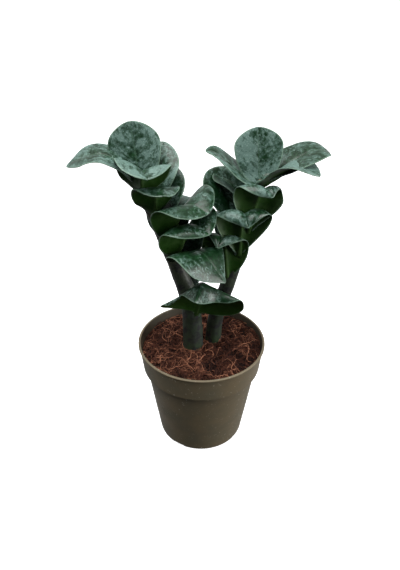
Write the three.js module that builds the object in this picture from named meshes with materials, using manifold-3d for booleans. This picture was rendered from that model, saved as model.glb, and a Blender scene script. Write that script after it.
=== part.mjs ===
import * as THREE from 'three';
import { mergeVertices } from 'three/addons/utils/BufferGeometryUtils.js';
import Module from 'manifold-3d';

// A compact aroid house plant with two leafy fronds, standing in coir in a moulded nursery pot.
// Millimetres, +Z up, the origin at the middle of the pot's underside, the viewer on the -Y side.

// Driving dimensions of the pot
const RIM_RADIUS = 60;
const POT_HEIGHT = 105.7;
const BASE_RADIUS = 41.4;
const WALL = 1.3;
const FLOOR = 2;
const FOOT_ROUND = 3;
const LIP_HEIGHT = 1.8;
const LIP_REACH = 1.1;
const RIM_BEVEL = 0.6;
const COLLAR_FOOT = 80;
const COLLAR_STEP = 3.1;
const BODY_SLOPE = 0.147;
const POT_SIDES = 60;
const NOTCH_COUNT = 4;
const NOTCH_FIRST = -122;
const NOTCH_WIDTH = 12;
const NOTCH_HEIGHT = 2.8;
const NOTCH_DEPTH = 9;
const NOTCH_OUT = 1;

// Driving dimensions of the coir
const CLEAR = 0.3;
const COIR_LEVEL = 96;
const COIR_TILT = 0.04;
const COIR_DOME = 1.2;
const COIR_RELIEF = 0.9;
const COIR_RINGS = 13;
const COIR_SIDES = 48;
const SMALL_LUMP = 3.4;
const LARGE_LUMP = 7.5;
const FACET_SAG = 0.1;
const HOLE_OVER = 30;

// Driving dimensions of the fronds
const STEM_SIDES = 12;
const STEM_STEP = 11;
const STEM_CAP = 1;
const BLADE_ROWS = 9;
const BLADE_COLUMNS = 6;
const RIB_STEPS = 4;
const BLADE_HALF_THICKNESS = 0.75;
const RIM_HALF_THICKNESS = 0.45;
const STALK_HALF_THICKNESS = 2;
const STALK_HALF_WIDTH = 3.2;
const STALK_SPAN = 0.25;
const TIP_HALF_WIDTH = 0.7;
const FOOT_DEPTH = 0.75;
const HEEL_SPAN = 0.34;

const DEGREE = Math.PI / 180;
const SAME_POINT = 1e-4;

const wasm = await Module();
wasm.setup();

// Stem centre lines, foot in the coir first: x, y, z and the diameter there
const LEFT_STEM = [
  [-8, -2, 62, 12],
  [-8, -2, 76, 19],
  [-8, -2, 98, 19.5],
  [-8.5, -2, 124, 18],
  [-10, -2, 146, 17],
  [-15, -2, 166, 15.5],
  [-24, -2, 191, 13],
  [-35, -2, 219, 10.5],
  [-46, -2, 247, 8.5],
  [-52, -1, 264, 7],
  [-53, -1, 267, 5],
];
const RIGHT_STEM = [
  [11, 9, 62, 9],
  [11, 9, 76, 14.5],
  [11, 9, 98, 15],
  [12.5, 9, 122, 14.5],
  [17, 9, 142, 14],
  [23, 8, 162, 13],
  [30, 8, 187, 11.5],
  [37, 8, 212, 10],
  [43, 8, 237, 8.5],
  [46, 8, 254, 7],
  [46.5, 8, 261, 4],
];

// Leaflets. height is where one leaves its stem, turn the compass direction that it grows in
// (0 right, -90 towards the viewer, 90 away), lift its first slope above the level and tipLift its
// last one. bendAt and bendSpan say where along it the slope changes, sweep turns it sideways on
// the way, cup and tipCup are how far the halves fold up at its foot and tip, curl rolls the
// margins, roll leans the blade about its midrib and twist adds to that towards the tip. neck is
// the share of its length that is stalk, and rise and fall are the powers that shape the outline
// under and over the widest place: a low rise gives a broad foot, a high fall a pointed tip.
const LEFT_LEAFLETS = [
  {
    height: 258, from: 90, turn: 94, lift: 80, tipLift: 80, length: 50, width: 41,
    cup: 16, tipCup: 6, curl: -12, lean: 7, widest: 0.66, heel: 10,
  },
  {
    height: 264, turn: 180, lift: 55, tipLift: -33, length: 63, width: 35, cup: 16,
    tipCup: 6, bendAt: 0.5, bendSpan: 0.9, roll: -8, heel: 0, widest: 0.66, fall: 0.8,
  },
  {
    height: 252, turn: -84, lift: 82, tipLift: -12, length: 47, width: 46, cup: 52,
    tipCup: 28, curl: -18, bendAt: 0.6, lean: -8, sweep: 25, roll: -8,
  },
  {
    height: 237, turn: -60, lift: 82, tipLift: -14, length: 46, width: 38, cup: 36,
    tipCup: -8, bendAt: 0.64, lean: -3, roll: -8,
  },
  {
    height: 215, from: -40, turn: -47, lift: 80, tipLift: -20, length: 60, width: 57,
    cup: 34, tipCup: 10, bendAt: 0.64, lean: 12, roll: 10,
  },
  {
    height: 200, from: -40, turn: -50, lift: 80, tipLift: -20, length: 58, width: 56,
    cup: 42, tipCup: 24, curl: -24, bendAt: 0.64, lean: 8, roll: 10, fall: 0.75,
  },
  {
    height: 193, from: -30, turn: -46, lift: 60, tipLift: -54, length: 66, width: 58, cup: 6,
    tipCup: 0, bendAt: 0.46, bendSpan: 0.5, heel: 30, lean: -4, sweep: 24, roll: -10,
    neck: 0.1, widest: 0.5, rise: 0.55, fall: 1.1,
  },
  {
    height: 139, from: -60, turn: -80, lift: 80, tipLift: -20, length: 72, width: 78, cup: -10,
    tipCup: -40, bendAt: 0.62, heel: 0, lean: 20, sweep: -50, roll: -7, twist: 6, neck: 0.08,
    widest: 0.32, rise: 0.6, fall: 0.9,
  },
  {
    height: 244, from: 60, turn: 64, lift: 76, tipLift: 46, length: 52, width: 41,
    cup: 30, tipCup: 0, lean: 2,
  },
  {
    height: 226, from: 60, turn: 60, lift: 76, tipLift: 40, length: 50, width: 34,
    cup: 30, tipCup: 0, lean: 3,
  },
  { height: 206, from: 90, turn: 84, lift: 78, tipLift: 0, length: 54, width: 42, lean: -1 },
  { height: 184, from: 90, turn: 88, lift: 76, tipLift: -20, length: 56, width: 42, lean: -9 },
  { height: 156, from: 90, turn: 86, lift: 70, tipLift: -40, length: 54, width: 36, lean: 2 },
];
const RIGHT_LEAFLETS = [
  {
    height: 256, from: 90, turn: 90, lift: 82, tipLift: 80, length: 46, width: 39,
    cup: 24, tipCup: 10, lean: 4, widest: 0.68, heel: 10,
  },
  {
    height: 262, from: 20, turn: 9, lift: 30, tipLift: -54, length: 63, width: 40, cup: 24,
    tipCup: 4, bendAt: 0.85, bendSpan: 0.5, roll: 8, heel: 0, fall: 0.75,
  },
  {
    height: 257, from: -150, turn: -22, lift: 40, tipLift: -18, length: 55, width: 38,
    cup: 34, bendAt: 0.65, heel: 20, roll: -6, widest: 0.72,
  },
  {
    height: 255, turn: 184, lift: 43, tipLift: -40, length: 53, width: 32, cup: 16,
    tipCup: 10, bendAt: 0.95, bendSpan: 0.4, roll: -8, heel: 10, widest: 0.5,
  },
  {
    height: 216, from: 120, turn: 150, lift: 70, tipLift: 40, length: 60, width: 42, cup: 42,
    tipCup: 26, roll: -34, widest: 0.62,
  },
  {
    height: 216, from: -90, turn: -86, lift: 90, tipLift: -56, length: 60, width: 41,
    tipCup: 44, curl: -50, bendAt: 0.81, lean: 2, sweep: 25, roll: -4, widest: 0.66, rise: 1.5,
    fall: 1, neck: 0.08,
  },
  {
    height: 195, from: -95, turn: -90, lift: 92, tipLift: -58, length: 62, width: 47,
    tipCup: 46, curl: -50, bendAt: 0.76, lean: -2, sweep: 12, roll: 6, twist: -6, widest: 0.66,
    rise: 1.4, fall: 1, neck: 0.06,
  },
  {
    height: 172, from: -150, turn: -95, lift: 92, tipLift: -46, length: 60, width: 40,
    tipCup: 44, curl: -45, bendAt: 0.78, lean: 1, sweep: -17, roll: 8, twist: -20, rise: 1.1,
    fall: 1,
  },
  { height: 232, from: 130, turn: 150, lift: 62, tipLift: 20, length: 46, width: 36 },
  { height: 214, from: 90, turn: 84, lift: 78, tipLift: 0, length: 50, width: 38, lean: 4 },
  { height: 190, from: 90, turn: 88, lift: 76, tipLift: -10, length: 54, width: 38, lean: 8 },
  { height: 164, from: 90, turn: 92, lift: 70, tipLift: -36, length: 54, width: 30, lean: -4 },
];

const LEAFLET = {
  widest: 0.56, bendAt: 0.58, bendSpan: 0.45, lean: 0, sweep: 0, heel: 40,
  cup: 48, tipCup: 14, curl: -6, roll: 0, twist: 0, neck: 0, rise: 0.62, fall: 0.58,
};

function smooth(value) {
  const t = Math.min(Math.max(value, 0), 1);
  return t * t * (3 - 2 * t);
}

function meshOf(positions, indices) {
  const geometry = new THREE.BufferGeometry();
  geometry.setAttribute('position', new THREE.Float32BufferAttribute(positions, 3));
  geometry.setIndex(indices);
  return geometry;
}

function solidOf(geometry) {
  const plain = geometry.clone();
  plain.deleteAttribute('normal');
  plain.deleteAttribute('uv');
  const merged = mergeVertices(plain, SAME_POINT);
  const mesh = new wasm.Mesh({
    numProp: 3,
    vertProperties: new Float32Array(merged.attributes.position.array),
    triVerts: new Uint32Array(merged.index.array),
  });
  return new wasm.Manifold(mesh);
}

function geometryOf(solid) {
  const mesh = solid.getMesh();
  return meshOf(Array.from(mesh.vertProperties), Array.from(mesh.triVerts));
}

// Pockets that joining seals off come back as shells of negative volume, and are filled
function filled(solid) {
  const outer = solid.decompose().filter((shell) => shell.volume() > 0);
  return outer.reduce((whole, shell) => whole.add(shell));
}

// The outline of a blade: half its width at a place along it, from its stalk to its short point
function halfWidth(leaf, along) {
  const half = leaf.width / 2;
  if (along < leaf.widest) {
    const risen = Math.max((along - leaf.neck) / (leaf.widest - leaf.neck), 0);
    const rise = Math.pow(Math.sin(risen * Math.PI / 2), leaf.rise);
    return STALK_HALF_WIDTH + (half - STALK_HALF_WIDTH) * rise;
  }
  const fallen = (along - leaf.widest) / (1 - leaf.widest);
  const fall = Math.pow(Math.cos(fallen * Math.PI / 2), leaf.fall);
  return TIP_HALF_WIDTH + (half - TIP_HALF_WIDTH) * fall;
}

function slopeAt(leaf, along) {
  const start = leaf.bendAt - leaf.bendSpan / 2;
  const heel = leaf.heel * (1 - smooth(along / HEEL_SPAN));
  return leaf.lift - heel + (leaf.tipLift - leaf.lift) * smooth((along - start) / leaf.bendSpan);
}

// The midrib's points and frames, at every row of the blade
function midribOf(leaf, foot) {
  const steps = BLADE_ROWS * RIB_STEPS;
  const point = foot.clone();
  const rows = [];
  for (let step = 0; step <= steps; step++) {
    const along = step / steps;
    const slope = slopeAt(leaf, along) * DEGREE;
    const turn = leaf.turn * DEGREE;
    const lean = (leaf.lean + leaf.sweep * along) * DEGREE;
    const ahead = new THREE.Vector3(
      Math.cos(slope) * Math.cos(turn), Math.cos(slope) * Math.sin(turn), Math.sin(slope));
    const level = new THREE.Vector3(-Math.sin(turn), Math.cos(turn), 0);
    const tangent = ahead.clone().multiplyScalar(Math.cos(lean)).addScaledVector(level, Math.sin(lean));
    const side = level.multiplyScalar(Math.cos(lean)).addScaledVector(ahead, -Math.sin(lean));
    side.applyAxisAngle(tangent, (leaf.roll + leaf.twist * along) * DEGREE);
    const face = new THREE.Vector3().crossVectors(tangent, side);
    if (step % RIB_STEPS === 0) {
      rows.push({ along, point: point.clone(), side, face });
    }
    point.addScaledVector(tangent, leaf.length / steps);
  }
  return rows;
}

// The middle surface of a blade, as rows of points across it from its right margin to its left
function bladePoints(leaf, foot) {
  return midribOf(leaf, foot).map((row) => {
    const half = halfWidth(leaf, row.along);
    const fold = leaf.cup + (leaf.tipCup - leaf.cup) * smooth(row.along);
    const points = [];
    for (let column = 0; column <= BLADE_COLUMNS; column++) {
      const across = (column / BLADE_COLUMNS) * 2 - 1;
      const angle = (fold + leaf.curl * Math.abs(across)) * DEGREE;
      const point = row.point.clone();
      point.addScaledVector(row.side, half * across * Math.cos(angle));
      point.addScaledVector(row.face, half * Math.abs(across) * Math.sin(angle));
      points.push(point);
    }
    return points;
  });
}

// A closed blade: the same grid of triangles on both faces, joined round the margin
function bladeGeometry(leaf, foot) {
  const grid = bladePoints(leaf, foot);
  const rows = grid.length;
  const columns = grid[0].length;
  const upper = [];
  const lower = [];
  const across = new THREE.Vector3();
  const along = new THREE.Vector3();
  for (let r = 0; r < rows; r++) {
    for (let c = 0; c < columns; c++) {
      across.subVectors(grid[r][Math.min(c + 1, columns - 1)], grid[r][Math.max(c - 1, 0)]);
      along.subVectors(grid[Math.min(r + 1, rows - 1)][c], grid[Math.max(r - 1, 0)][c]);
      const normal = new THREE.Vector3().crossVectors(along, across).normalize();
      const edge = Math.abs(c / (columns - 1) * 2 - 1);
      const blade = BLADE_HALF_THICKNESS + (RIM_HALF_THICKNESS - BLADE_HALF_THICKNESS) * edge;
      const stalk = STALK_HALF_THICKNESS * (1 - smooth(r / (rows - 1) / STALK_SPAN)) * (1 - edge / 2);
      const half = blade + stalk;
      upper.push(grid[r][c].clone().addScaledVector(normal, half));
      lower.push(grid[r][c].clone().addScaledVector(normal, -half));
    }
  }
  const positions = [...upper, ...lower].flatMap((p) => [p.x, p.y, p.z]);
  const indices = [];
  const under = rows * columns;
  for (let r = 0; r < rows - 1; r++) {
    for (let c = 0; c < columns - 1; c++) {
      const a = r * columns + c;
      const b = a + 1;
      const d = a + columns;
      const e = d + 1;
      if (c < (columns - 1) / 2) {
        indices.push(a, d, b, b, d, e);
        indices.push(a + under, b + under, d + under, b + under, e + under, d + under);
      } else {
        indices.push(a, d, e, a, e, b);
        indices.push(a + under, e + under, d + under, a + under, b + under, e + under);
      }
    }
  }
  const margin = [];
  for (let c = 0; c < columns - 1; c++) margin.push(c);
  for (let r = 0; r < rows - 1; r++) margin.push(r * columns + columns - 1);
  for (let c = columns - 1; c > 0; c--) margin.push((rows - 1) * columns + c);
  for (let r = rows - 1; r > 0; r--) margin.push(r * columns);
  margin.forEach((a, i) => {
    const b = margin[(i + 1) % margin.length];
    indices.push(a, b, a + under, b, b + under, a + under);
  });
  return meshOf(positions, indices);
}

// A stem: rings along its centre line, closed at both ends. extra widens it for its hole
function stemCurve(line) {
  return new THREE.CatmullRomCurve3(line.map(([x, y, z]) => new THREE.Vector3(x, y, z)));
}

function stemDiameter(line, height) {
  for (let i = 1; i < line.length; i++) {
    if (height <= line[i][2]) {
      const t = (height - line[i - 1][2]) / (line[i][2] - line[i - 1][2]);
      return line[i - 1][3] + (line[i][3] - line[i - 1][3]) * Math.max(t, 0);
    }
  }
  return line[line.length - 1][3];
}

function stemPoint(line, height) {
  for (let i = 1; i < line.length; i++) {
    if (height <= line[i][2]) {
      const t = (height - line[i - 1][2]) / (line[i][2] - line[i - 1][2]);
      const below = new THREE.Vector3(...line[i - 1].slice(0, 3));
      return below.lerp(new THREE.Vector3(...line[i].slice(0, 3)), t);
    }
  }
  return new THREE.Vector3(...line[line.length - 1].slice(0, 3));
}

// A leaflet's foot, sunk in the side of the stem that it grows from
function footOf(leaf, line) {
  const from = (leaf.from ?? leaf.turn) * DEGREE;
  const out = FOOT_DEPTH * stemDiameter(line, leaf.height) / 2;
  const offset = new THREE.Vector3(Math.cos(from), Math.sin(from), 0).multiplyScalar(out);
  return stemPoint(line, leaf.height).add(offset);
}

function stemGeometry(line, extra, cutOff) {
  const curve = stemCurve(line);
  const steps = Math.ceil(curve.getLength() / STEM_STEP);
  const positions = [];
  const indices = [];
  const rings = [];
  for (let i = 0; i <= steps; i++) {
    const centre = curve.getPointAt(i / steps);
    if (centre.z > cutOff) break;
    rings.push({ centre, tangent: curve.getTangentAt(i / steps) });
  }
  for (const { centre, tangent } of rings) {
    const side = new THREE.Vector3().crossVectors(new THREE.Vector3(0, 1, 0), tangent).normalize();
    const front = new THREE.Vector3().crossVectors(tangent, side);
    const radius = stemDiameter(line, centre.z) / 2 + extra;
    for (let k = 0; k < STEM_SIDES; k++) {
      const angle = (k / STEM_SIDES) * 2 * Math.PI;
      const point = centre.clone();
      point.addScaledVector(side, radius * Math.cos(angle));
      point.addScaledVector(front, radius * Math.sin(angle));
      positions.push(point.x, point.y, point.z);
    }
  }
  const last = rings.length - 1;
  for (let i = 0; i < last; i++) {
    for (let k = 0; k < STEM_SIDES; k++) {
      const a = i * STEM_SIDES + k;
      const b = i * STEM_SIDES + (k + 1) % STEM_SIDES;
      indices.push(a, b, a + STEM_SIDES, b, b + STEM_SIDES, a + STEM_SIDES);
    }
  }
  const foot = positions.length / 3;
  const bottom = rings[0].centre.clone().addScaledVector(rings[0].tangent, -extra);
  const top = rings[last].centre.clone().addScaledVector(rings[last].tangent, STEM_CAP);
  positions.push(bottom.x, bottom.y, bottom.z, top.x, top.y, top.z);
  for (let k = 0; k < STEM_SIDES; k++) {
    const next = (k + 1) % STEM_SIDES;
    indices.push(foot, next, k);
    indices.push(foot + 1, last * STEM_SIDES + k, last * STEM_SIDES + next);
  }
  return meshOf(positions, indices);
}

// A frond: its stem with every leaflet's foot sunk in it, joined to one solid
function frondGeometry(line, leaflets) {
  let frond = solidOf(stemGeometry(line, 0, Infinity));
  for (const given of leaflets) {
    const leaf = { ...LEAFLET, ...given };
    frond = frond.add(solidOf(bladeGeometry(leaf, footOf(leaf, line))));
  }
  return geometryOf(filled(frond));
}

// The pot's section, outside from the floor to the lip and back down the inside
function bodyRadius(height) {
  return BASE_RADIUS + BODY_SLOPE * height;
}

function collarRadius(height) {
  const foot = bodyRadius(COLLAR_FOOT) + COLLAR_STEP;
  const top = RIM_RADIUS - LIP_REACH;
  return foot + (top - foot) * (height - COLLAR_FOOT) / (POT_HEIGHT - LIP_HEIGHT - COLLAR_FOOT);
}

function potGeometry() {
  const bevel = RIM_BEVEL;
  const lipFoot = POT_HEIGHT - LIP_HEIGHT;
  const ledge = COLLAR_FOOT + WALL;
  const round = FOOT_ROUND * (1 - Math.SQRT1_2);
  const profile = [
    [0, 0],
    [BASE_RADIUS - FOOT_ROUND, 0],
    [BASE_RADIUS - round, round],
    [bodyRadius(FOOT_ROUND), FOOT_ROUND],
    [bodyRadius(COLLAR_FOOT), COLLAR_FOOT],
    [collarRadius(COLLAR_FOOT) - bevel, COLLAR_FOOT],
    [collarRadius(COLLAR_FOOT + bevel), COLLAR_FOOT + bevel],
    [collarRadius(lipFoot), lipFoot],
    [RIM_RADIUS - bevel / 2, lipFoot + bevel / 2],
    [RIM_RADIUS, POT_HEIGHT - bevel],
    [RIM_RADIUS - bevel, POT_HEIGHT],
    [collarRadius(POT_HEIGHT) - WALL, POT_HEIGHT],
    [collarRadius(ledge) - WALL, ledge],
    [bodyRadius(ledge) - WALL, ledge],
    [bodyRadius(FLOOR) - WALL, FLOOR],
    [0, FLOOR],
  ].map(([radius, height]) => new THREE.Vector2(radius, height));
  const lathe = new THREE.LatheGeometry(profile, POT_SIDES);
  lathe.rotateX(Math.PI / 2);
  let pot = solidOf(lathe);
  for (let i = 0; i < NOTCH_COUNT; i++) {
    const notch = new THREE.BoxGeometry(NOTCH_DEPTH, NOTCH_WIDTH, NOTCH_HEIGHT * 2);
    notch.translate(BASE_RADIUS + NOTCH_OUT - NOTCH_DEPTH / 2, 0, 0);
    notch.rotateZ((NOTCH_FIRST + i * 360 / NOTCH_COUNT) * DEGREE);
    pot = pot.subtract(solidOf(notch));
  }
  return geometryOf(pot);
}

// The coir: it fills the pot to a lightly heaped, uneven top with two sizes of lump
function coirHeight(x, y) {
  const reach = Math.hypot(x, y) / RIM_RADIUS;
  const small = Math.sin(x / SMALL_LUMP + 1) * Math.cos(y / SMALL_LUMP);
  const large = Math.sin((x - 3 * y) / LARGE_LUMP + 2);
  const relief = COIR_RELIEF * (small + large / 2) * (1 - reach / 2);
  return COIR_LEVEL + COIR_TILT * x + COIR_DOME * (1 - reach * reach) + relief;
}

function coirGeometry() {
  const ledge = COLLAR_FOOT + WALL + CLEAR;
  const inset = WALL + CLEAR + FACET_SAG;
  const sides = [
    [bodyRadius(FLOOR) - inset, FLOOR + CLEAR],
    [bodyRadius(ledge) - inset, ledge],
    [collarRadius(ledge) - inset, ledge],
  ];
  const positions = [0, 0, FLOOR + CLEAR];
  for (const [radius, height] of sides) {
    for (let k = 0; k < COIR_SIDES; k++) {
      const angle = (k / COIR_SIDES) * 2 * Math.PI;
      positions.push(radius * Math.cos(angle), radius * Math.sin(angle), height);
    }
  }
  const brim = collarRadius(COIR_LEVEL) - inset - CLEAR;
  for (let ring = COIR_RINGS; ring > 0; ring--) {
    const radius = brim * ring / COIR_RINGS;
    for (let k = 0; k < COIR_SIDES; k++) {
      const angle = (k / COIR_SIDES) * 2 * Math.PI;
      const x = radius * Math.cos(angle);
      const y = radius * Math.sin(angle);
      positions.push(x, y, coirHeight(x, y));
    }
  }
  positions.push(0, 0, coirHeight(0, 0));
  const rings = sides.length + COIR_RINGS;
  const top = positions.length / 3 - 1;
  const indices = [];
  for (let k = 0; k < COIR_SIDES; k++) {
    const next = (k + 1) % COIR_SIDES;
    indices.push(0, 1 + next, 1 + k);
    for (let ring = 0; ring < rings - 1; ring++) {
      const a = 1 + ring * COIR_SIDES;
      const b = a + COIR_SIDES;
      indices.push(a + k, a + next, b + k, a + next, b + next, b + k);
    }
    const last = 1 + (rings - 1) * COIR_SIDES;
    indices.push(last + k, last + next, top);
  }
  let coir = solidOf(meshOf(positions, indices));
  for (const line of [LEFT_STEM, RIGHT_STEM]) {
    coir = coir.subtract(solidOf(stemGeometry(line, CLEAR + FACET_SAG, COIR_LEVEL + HOLE_OVER)));
  }
  return geometryOf(coir);
}

const finishes = {
  pot: new THREE.MeshStandardMaterial({ color: 0x736d5e, roughness: 0.55, metalness: 0 }),
  coir: new THREE.MeshStandardMaterial({ color: 0x6e4a3a, roughness: 0.95, metalness: 0 }),
  frond: new THREE.MeshStandardMaterial({ color: 0x3f6350, roughness: 0.4, metalness: 0 }),
};

function piece(name, geometry, material) {
  const mesh = new THREE.Mesh(geometry, material);
  mesh.name = name;
  return mesh;
}

const plant = new THREE.Group();
plant.add(piece('pot', potGeometry(), finishes.pot));
plant.add(piece('coir', coirGeometry(), finishes.coir));
plant.add(piece('frond_left', frondGeometry(LEFT_STEM, LEFT_LEAFLETS), finishes.frond));
plant.add(piece('frond_right', frondGeometry(RIGHT_STEM, RIGHT_LEAFLETS), finishes.frond));

export default plant;
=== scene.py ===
"""Fine pieces, finishes, light and camera for a compact aroid house plant in a nursery pot.

Metres, +Z up, the viewer of the photograph on the -Y side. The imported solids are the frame, and
every piece here keeps the form of the solid that it replaces.
"""
import math

import bmesh
import bpy
import numpy as np
from mathutils import Euler, Matrix, Vector, noise


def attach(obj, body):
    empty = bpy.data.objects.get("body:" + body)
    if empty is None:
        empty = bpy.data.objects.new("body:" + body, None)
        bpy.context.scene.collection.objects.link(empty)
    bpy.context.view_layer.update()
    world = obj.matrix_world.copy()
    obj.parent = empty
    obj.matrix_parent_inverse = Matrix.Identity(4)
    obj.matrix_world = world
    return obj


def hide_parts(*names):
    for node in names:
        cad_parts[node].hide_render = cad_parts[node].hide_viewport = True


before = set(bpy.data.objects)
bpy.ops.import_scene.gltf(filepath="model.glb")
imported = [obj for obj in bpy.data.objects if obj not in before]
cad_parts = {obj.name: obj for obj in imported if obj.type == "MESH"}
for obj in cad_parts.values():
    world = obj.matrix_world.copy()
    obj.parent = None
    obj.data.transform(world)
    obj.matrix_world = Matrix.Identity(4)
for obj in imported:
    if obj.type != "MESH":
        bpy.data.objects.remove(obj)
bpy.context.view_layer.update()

bl_info = {
    "name": "Aroid House Plant",
    "version": (1, 0, 0),
    "blender": (4, 5, 0),
    "location": "View3D > Sidebar > House Plant",
    "description": "Builds a compact potted aroid: moulded pot, coir, stems and folded leaflets",
    "category": "Add Mesh",
}

MM = 0.001

# The pot's section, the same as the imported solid's, in millimetres
RIM_RADIUS = 60
POT_HEIGHT = 105.7
BASE_RADIUS = 41.4
BODY_SLOPE = 0.147
WALL = 1.3
FLOOR = 2
FOOT_ROUND = 3
LIP_HEIGHT = 1.8
LIP_REACH = 1.1
COLLAR_FOOT = 80
COLLAR_STEP = 3.1
NOTCH_COUNT = 4
NOTCH_FIRST = -122
NOTCH_WIDTH = 12
NOTCH_HEIGHT = 2.8
NOTCH_DEPTH = 9
NOTCH_OUT = 1

# The pot's small roundings, and the slow drift of its wall, in millimetres
FOOT_FLARE = 0.4
STEP_ROUND = 0.8
STEP_SAG = 0.15
COLLAR_ROUND = 0.7
LIP_FILLET = 0.5
LIP_UNDER_ROUND = 0.55
LIP_TOP_ROUND = 0.6
LIP_INNER_ROUND = 0.4
LEDGE_ROUND = 0.4
LEDGE_FILLET = 0.3
WELL_ROUND = 0.6
DRIFT = 0.05
DRIFT_LUMP = 22
DRIFT_STRETCH = (1, 1, 0.6)
DRIFT_STRIDE = 8
DRIFT_SMOOTHINGS = 5

# The coir's even top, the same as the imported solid's, in millimetres
COIR_LEVEL = 96
COIR_TILT = 0.04
COIR_DOME = 1.2
COIR_RELIEF = 0.9
SMALL_LUMP = 3.4
LARGE_LUMP = 7.5

# The bed's gap to the pot, its innermost rings, and the sizes and heights of its clumps and grit,
# in millimetres
COIR_CLEAR = 0.4
BED_RINGS = 70
BED_SIDES = 240
BED_SINK = 1.4
BED_EYE = 0.5
TOP_EYE = 0.4
CLUMP_RISE = 3.0
LARGE_CLUMP = 6.5
SMALL_CLUMP = 3.2
CLUMP_EDGE = 4
GRIT_RISE = 0.8
GRIT_SIZE = 1.3

# The bed's tone, from 0, damp and dark, to 1, dry and pale: at its even top, for each millimetre
# of clump as painted shade in the hollows and painted light on the tops, and the spread and size of
# its mottling
BED_TONE = 0.02
BED_CLUMP_SHADE_RISE = 0.16
BED_TONE_SPREAD = 0.2
BED_TONE_SIZE = 1.6
BED_TONE_MOST = 0.4

# How the loose fibres lie: bend and twist in radians, arch, wiggle, sinking and clearance of the
# stems in millimetres, their girths and tones about the layer's own, and the tone's rise with the
# clump under them, painted shade in the hollows and painted light on the tops
FIBRE_STEPS = 9
FIBRE_SIDES = 3
FIBRE_BEND = 1.1
FIBRE_TWIST = 1.6
FIBRE_ARCH = (1.6, 0.55)
FIBRE_WIGGLE = 0.25
FIBRE_SINK = 1.1
FIBRE_CLEAR = 0.15
FIBRE_GIRTHS = (0.6, 1.35)
FIBRE_TONES = (0.45, 0.55)
FIBRE_CLUMP_SHADE_RISE = 0.22
FIBRE_END = 0.25
FIBRE_TAPER = 0.12

# Each layer of fibres: name, share of the set count, lengths, girth against a middling fibre,
# heights over the bed, tones, and the seed of its draws
FIBRE_LAYERS = (
    ("coir_fibres_low", 1.0, (7, 15), 1.25, (0.0, 1.2), (0.0, 0.5), 11),
    ("coir_fibres_middle", 1.0, (9, 22), 1.0, (0.5, 2.6), (0.0, 0.8), 12),
    ("coir_fibres_top", 0.4, (12, 36), 0.8, (1.4, 3.8), (0.2, 1.0), 13),
)

# The stems' skin, in millimetres: coarse and fine bumps with the size of their lumps, ridges, the
# swelling under each leaflet's foot, and where all of these fade out
STEM_RINGS = 170
STEM_SIDES = 56
STEM_SMOOTHINGS = 10
STEM_SEED = 40
COARSE_BUMP = 0.3
COARSE_LUMP = 11
COARSE_STRETCH = (1, 1, 0.5)
FINE_BUMP = 0.22
FINE_LUMP = 4
FINE_STRETCH = (1, 1, 0.35)
RIDGES = 9
RIDGE_RISE = 0.09
RIDGE_TURN = 0.8
SWELL_RISE = 0.9
SWELL_REACH = 3.2
SWELL_DROP = 2
TOP_FADE = 6
FOOT_FADE = 4
FOOT_FADE_LEVEL = 92
CAP_RINGS = 5
CAP_RISE = 0.5
STEM_SPAN = 170

# The blades' rules of form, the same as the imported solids', in millimetres
STALK_HALF_WIDTH = 3.2
TIP_HALF_WIDTH = 0.7
FOOT_DEPTH = 0.75
HEEL_SPAN = 0.34
STALK_SPAN = 0.25

# The blades' fine form, in millimetres: how the rows and columns crowd, the rounding of the fold,
# broad and small unevenness, the waves of the margin, and the stalk, groove and keel
RIB_STEPS = 180
OUTLINE_STEPS = 160
ROW_EASE = 1.6
COLUMN_EASE = 1.2
FOLD_ROUND = 0.05
BROAD_RISE = 0.38
BROAD_SIZE = 9
SMALL_RISE = 0.12
SMALL_SIZE = 3.5
MARGIN_WAVE = 0.5
WAVE_REACH = 5.2
WAVE_SHIFT = 1.7
HAND_SHIFT = 2.1
MARGIN_THIN = 0.45
MARGIN_TURNS = (60, 30, 0, -30, -60)
STALK_THICK = 1.7
GROOVE_DEPTH = 0.55
GROOVE_FADE = 0.75
GROOVE_WIDTH = 1.1
KEEL_DEPTH = 0.95
KEEL_FADE = 0.8
KEEL_WIDTH = 1.5
LEAFLET_SEED = 50
FROND_SEEDS = 20
OWN_STEP = 0.37
TINY = 1e-9

# Colours of the finishes, beside those that a user sets
LEAF_DEEP = (0.003, 0.018, 0.005)
LEAF_DEEP_FLECK = (0.009, 0.038, 0.013)
# Painted sheen: the whitish colour laid where the leaf's pale cover is thickest
PAINTED_SHEEN_PALE = (0.135, 0.215, 0.188)
BLOOM_DUST = (0.24, 0.34, 0.31)
BLOOM_FROST = (0.15, 0.235, 0.20)
FACE_MIDRIB = (0.07, 0.14, 0.08)
FACE_MARGIN = (0.16, 0.25, 0.18)
BACK_BLOTCH = (0.020, 0.058, 0.008)
BACK_FLECK = (0.035, 0.075, 0.016)
BACK_KEEL = (0.06, 0.11, 0.035)
BACK_MARGIN = (0.15, 0.23, 0.14)
STEM_TOP = (0.060, 0.058, 0.034)
STEM_FOOT = (0.022, 0.055, 0.014)
STEM_BLOTCH = (0.008, 0.007, 0.010)
STEM_FLECK = (0.012, 0.010, 0.013)
STEM_PALE = (0.12, 0.13, 0.10)
PLASTIC_CLOUD = (0.120, 0.104, 0.066)
PLASTIC_DUST = (0.17, 0.14, 0.095)
PLASTIC_SPECK = (0.36, 0.33, 0.26)
# Painted shade: the dark colour laid on the inside of the pot's wall
PAINTED_INSIDE_SHADE = (0.022, 0.020, 0.013)
COIR_MIDDLE = (0.085, 0.028, 0.016)

# The viewer's place in millimetres, the angles that the view looks down and leans by, and the
# photograph's focal length and height in pixels
CAMERA_PLACE = (-1.9, -397.4, 409.2)
CAMERA_DOWN = 31.46
CAMERA_ROLL = 0.437
FOCAL_PIXELS = 522
FRAME_HEIGHT = 570
SENSOR = 36

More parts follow.
